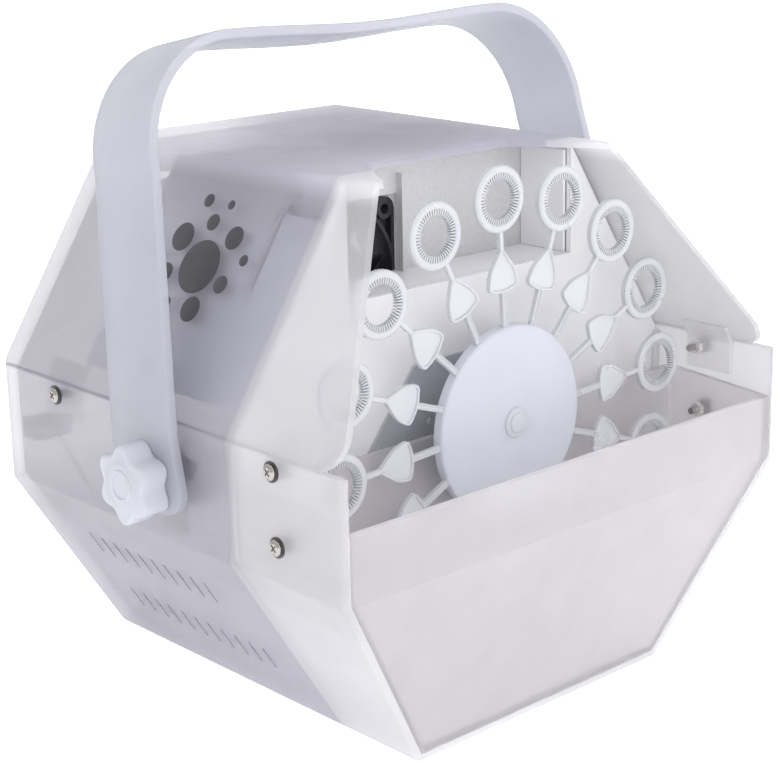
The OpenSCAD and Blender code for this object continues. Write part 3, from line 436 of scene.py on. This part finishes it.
def build_knob(side):
    name = "right" if side > 0 else "left"
    back = PAD_X + STRAP_T + 0.1
    steps = 96
    angles = [2 * math.pi * k / steps for k in range(steps)]
    body = [(0, 1.3), (0.35, 0.5), (1.2, 0), (KNOB_T - 1.2, 0), (KNOB_T - 0.5, 0.25), (KNOB_T - 0.1, 0.8),
            (KNOB_T, 1.6)]
    loops = [[(x, knob_radius(a) - inset, a) for a in angles] for x, inset in body]
    loops += [[(x, r, a) for a in angles] for x, r in
              ((KNOB_T, 9.6), (KNOB_T + 0.3, 9.3), (KNOB_T + 0.3, 6.6), (KNOB_T + 0.9, 6.3), (KNOB_T + 0.9, 5.2),
               (KNOB_T + 0.4, 4.9), (KNOB_T + 0.35, 0.4))]
    bm = bmesh.new()
    loft(bm, [[Vector((side * (back + x), PIVOT.y + r * math.cos(a), PIVOT.z + r * math.sin(a)))
               for x, r, a in loop] for loop in loops])
    knob = finish_piece(name + "_star_knob", bm, looks["milky_plastic"], name + " clamp knob", 50.0)
    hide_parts(name + "_knob")


build_handle()
build_knob(1)
build_knob(-1)


# ---------------------------------------------------------------- marks on the left slope

SLOPE_FOOT, SLOPE_TOP = Vector((-125, 135)), Vector((-66, 227))
MARKS = [(0, 0, 11.5), (17.5, 10.5, 6.2), (-13.5, 14.5, 5.0), (3.0, 19.0, 3.6), (19.0, -5.5, 4.2), (-17.0, -5.0, 3.8),
         (-5.5, -17.5, 5.4), (10.5, -17.5, 2.6), (-24.5, 6.5, 2.4), (28.0, 2.5, 2.2), (-3.5, 27.5, 2.0),
         (11.0, 27.5, 2.9)]


def build_marks():
    """A cluster of round grey marks, like rising bubbles."""
    up = (SLOPE_TOP - SLOPE_FOOT).normalized()
    out = Vector((-up.y, up.x))
    middle = SLOPE_FOOT + (SLOPE_TOP - SLOPE_FOOT) * 0.57
    bm = bmesh.new()
    for y, rise, r in MARKS:
        loops = []
        for grow, lift in ((0, -0.05), (0, 0.1), (-0.1, 0.16)):
            loop = []
            for k in range(48):
                a = 2 * math.pi * k / 48
                flat = middle + up * (rise + (r + grow) * math.sin(a)) + out * lift
                loop.append(Vector((flat.x, 12 + y + (r + grow) * math.cos(a), flat.y)))
            loops.append(loop)
        loft(bm, loops)
    finish_piece("bubble_marks", bm, mark_look, BODY)


build_marks()


# ---------------------------------------------------------------- CAD pieces: soft edges and painted edge highlights

EDGES = {"lower_shell": 0.5, "upper_cover": 0.5, "fluid_tank": 0.6, "cover_tabs": 0.3, "case_screws": 0.15,
         "partition": 0.4, "air_duct": 0.4, "inner_housing": 0.25, "rear_panel": 0.4, "fan_frame": 0.3,
         "motor_bracket": 0.25, "left_spacer": 0.4, "right_spacer": 0.4, "rocker_switch_body": 0.3,
         "switch_rocker": 0.3, "power_inlet": 0.25}
for name, width in EDGES.items():
    obj = frame["nodes"][name]
    weld = obj.modifiers.new("weld", "WELD")
    weld.merge_threshold = 1e-6
    bevel = obj.modifiers.new("soft_edges", "BEVEL")
    bevel.width = width * MM
    bevel.segments = 2
    bevel.limit_method = "ANGLE"
    bevel.angle_limit = math.radians(32)
    bevel.harden_normals = False
    # Painted highlight: the bevels of the shell, cover, partition and air duct take a look of their own that stands
    # for bright highlights along the edges.
    if name in ("lower_shell", "upper_cover", "partition", "air_duct"):
        obj.data.materials.append(edge_highlight_look)
        bevel.material = 1


# ---------------------------------------------------------------- floor, light, camera

def build_floor():
    mesh = bpy.data.meshes.new("floor")
    size = 12.0
    mesh.from_pydata([(-size, -size, 0), (size, -size, 0), (size, size, 0), (-size, size, 0)], [], [(0, 1, 2, 3)])
    floor = bpy.data.objects.new("floor", mesh)
    bpy.context.scene.collection.objects.link(floor)
    t = Tree("floor_look")
    t.set("Base Color", t.ramp(t.noise(3.0, 1.0), [(0.3, (0.92, 0.92, 0.92)), (0.7, (0.94, 0.94, 0.94))]))
    t.set("Roughness", 0.9)
    t.set("Emission Color", (1.0, 1.0, 1.0, 1.0))
    t.set("Emission Strength", 0.6)
    floor.data.materials.append(t.material)


def area_light(name, place, size, energy, target=(0, 0, 0.1)):
    data = bpy.data.lights.new(name, "AREA")
    data.size = size
    data.energy = energy
    lamp = bpy.data.objects.new(name, data)
    lamp.location = place
    lamp.rotation_mode = "QUATERNION"
    lamp.rotation_quaternion = (Vector(target) - Vector(place)).to_track_quat("-Z", "Y")
    bpy.context.scene.collection.objects.link(lamp)


def build_studio():
    world = bpy.data.worlds.new("studio")
    bpy.context.scene.world = world
    world.use_nodes = True
    background = world.node_tree.nodes["Background"]
    background.inputs["Color"].default_value = (1, 1, 1, 1)
    background.inputs["Strength"].default_value = 0.8
    area_light("key", (-0.7, -1.6, 0.9), 1.2, 7.5)
    area_light("top", (0.1, 0.3, 1.7), 1.4, 4.0)
    area_light("front_fill", (0.35, -1.8, 0.35), 1.0, 3.0)
    area_light("right_fill", (1.5, -0.8, 0.7), 1.0, 3.0)


def build_camera():
    place, target = Vector((-529.9, -587.5, 350.7)) * MM, Vector((23.06, 0, 118.91)) * MM
    roll = -0.01413
    back = (place - target).normalized()
    side = Vector((0, 0, 1)).cross(back).normalized()
    up = back.cross(side)
    x = side * math.cos(roll) + up * math.sin(roll)
    y = up * math.cos(roll) - side * math.sin(roll)
    data = bpy.data.cameras.new("camera")
    camera = bpy.data.objects.new("camera", data)
    camera.matrix_world = Matrix((
        (x.x, y.x, back.x, place.x), (x.y, y.y, back.y, place.y), (x.z, y.z, back.z, place.z), (0, 0, 0, 1)))
    data.sensor_width = 36.0
    data.lens = 87.25
    data.shift_x = -0.0508
    data.shift_y = -0.001
    data.clip_start, data.clip_end = 0.01, 50.0
    bpy.context.scene.collection.objects.link(camera)
    bpy.context.scene.camera = camera


build_floor()
build_studio()
build_camera()
bpy.context.scene.view_settings.view_transform = "Standard"
